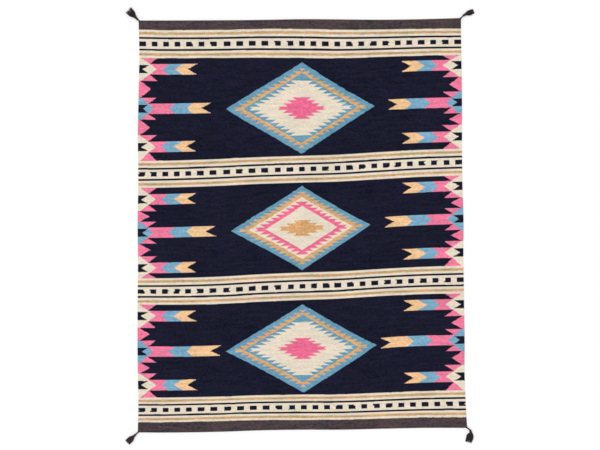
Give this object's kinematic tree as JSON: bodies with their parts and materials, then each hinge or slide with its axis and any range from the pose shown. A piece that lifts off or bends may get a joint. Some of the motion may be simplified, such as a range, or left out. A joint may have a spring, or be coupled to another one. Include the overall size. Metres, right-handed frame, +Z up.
{
  "type": "southwest style flatweave rug",
  "caption": "Flat rectangular tapestry-woven wool rug with banded diamonds, a slightly uneven hand-woven outline and a yarn tassel at each corner.",
  "frame": {"origin": "middle of the cloth's underside, on the floor", "axes": "+Y along the rug's length towards the end that is upper in the picture, +X along its width to the right, +Z up out of its face"},
  "size_m": [1.3053, 1.6333, 0.0068],
  "materials": {
    "tapestry_wool": "matt dyed wool weft in tapestry weave: near-black navy field with cream, camel, pink and blue figures and dark brown ends",
    "dark_brown_yarn": "matt dark brown wool yarn"
  },
  "bodies": {
    "root": {"woven_cloth": "tapestry_wool", "tassel_upper_left": "dark_brown_yarn", "tassel_upper_right": "dark_brown_yarn", "tassel_lower_left": "dark_brown_yarn", "tassel_lower_right": "dark_brown_yarn"}
  },
  "joints": []
}
